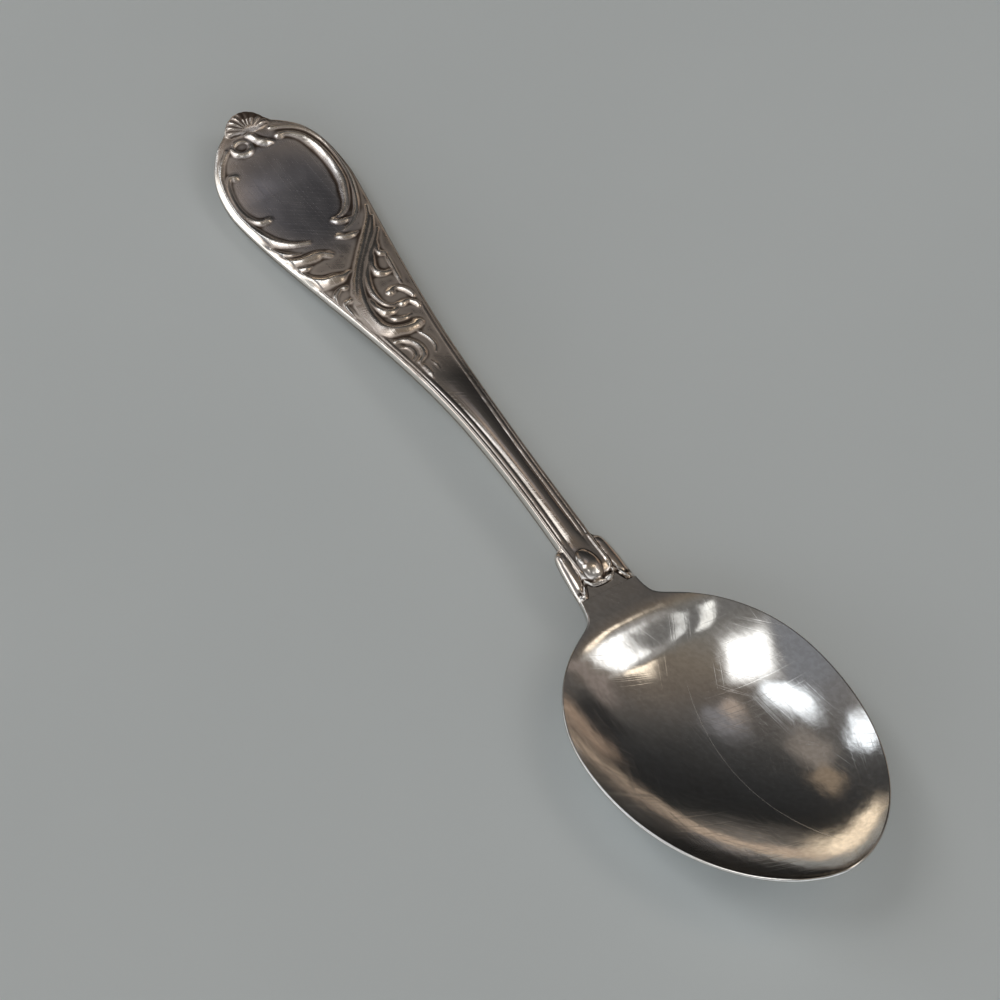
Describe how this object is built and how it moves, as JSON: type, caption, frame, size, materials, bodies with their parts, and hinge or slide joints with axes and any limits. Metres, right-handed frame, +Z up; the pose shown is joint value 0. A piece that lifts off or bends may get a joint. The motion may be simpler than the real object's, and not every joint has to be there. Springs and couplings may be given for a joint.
{
  "type": "tablespoon",
  "caption": "Tablespoon with an egg-shaped bowl on a short neck and a hollow handle whose front is embossed with a shell, a blank cartouche, scrolls and border threads.",
  "frame": {"origin": "on the table, under the middle of the bounding box of the spoon as it lies face up", "axes": "+X from the tip of the handle to the tip of the bowl, +Y to the left seen from the handle's tip, +Z up"},
  "size_m": [0.205, 0.0466, 0.0172],
  "materials": {
    "silver_bowl": "worn polished silver with fine scratches",
    "silver_front": "embossed silver, polished on the high places and tarnished warm grey in the recesses",
    "silver_back": "worn polished silver",
    "solder": "dull grey solder line",
    "cement": "brown resin cement, matt"
  },
  "bodies": {
    "root": {"bowl": "silver_bowl", "handle_front": "silver_front", "handle_back": "silver_back", "seam_solder": "solder", "cement_core": "cement"}
  },
  "joints": []
}
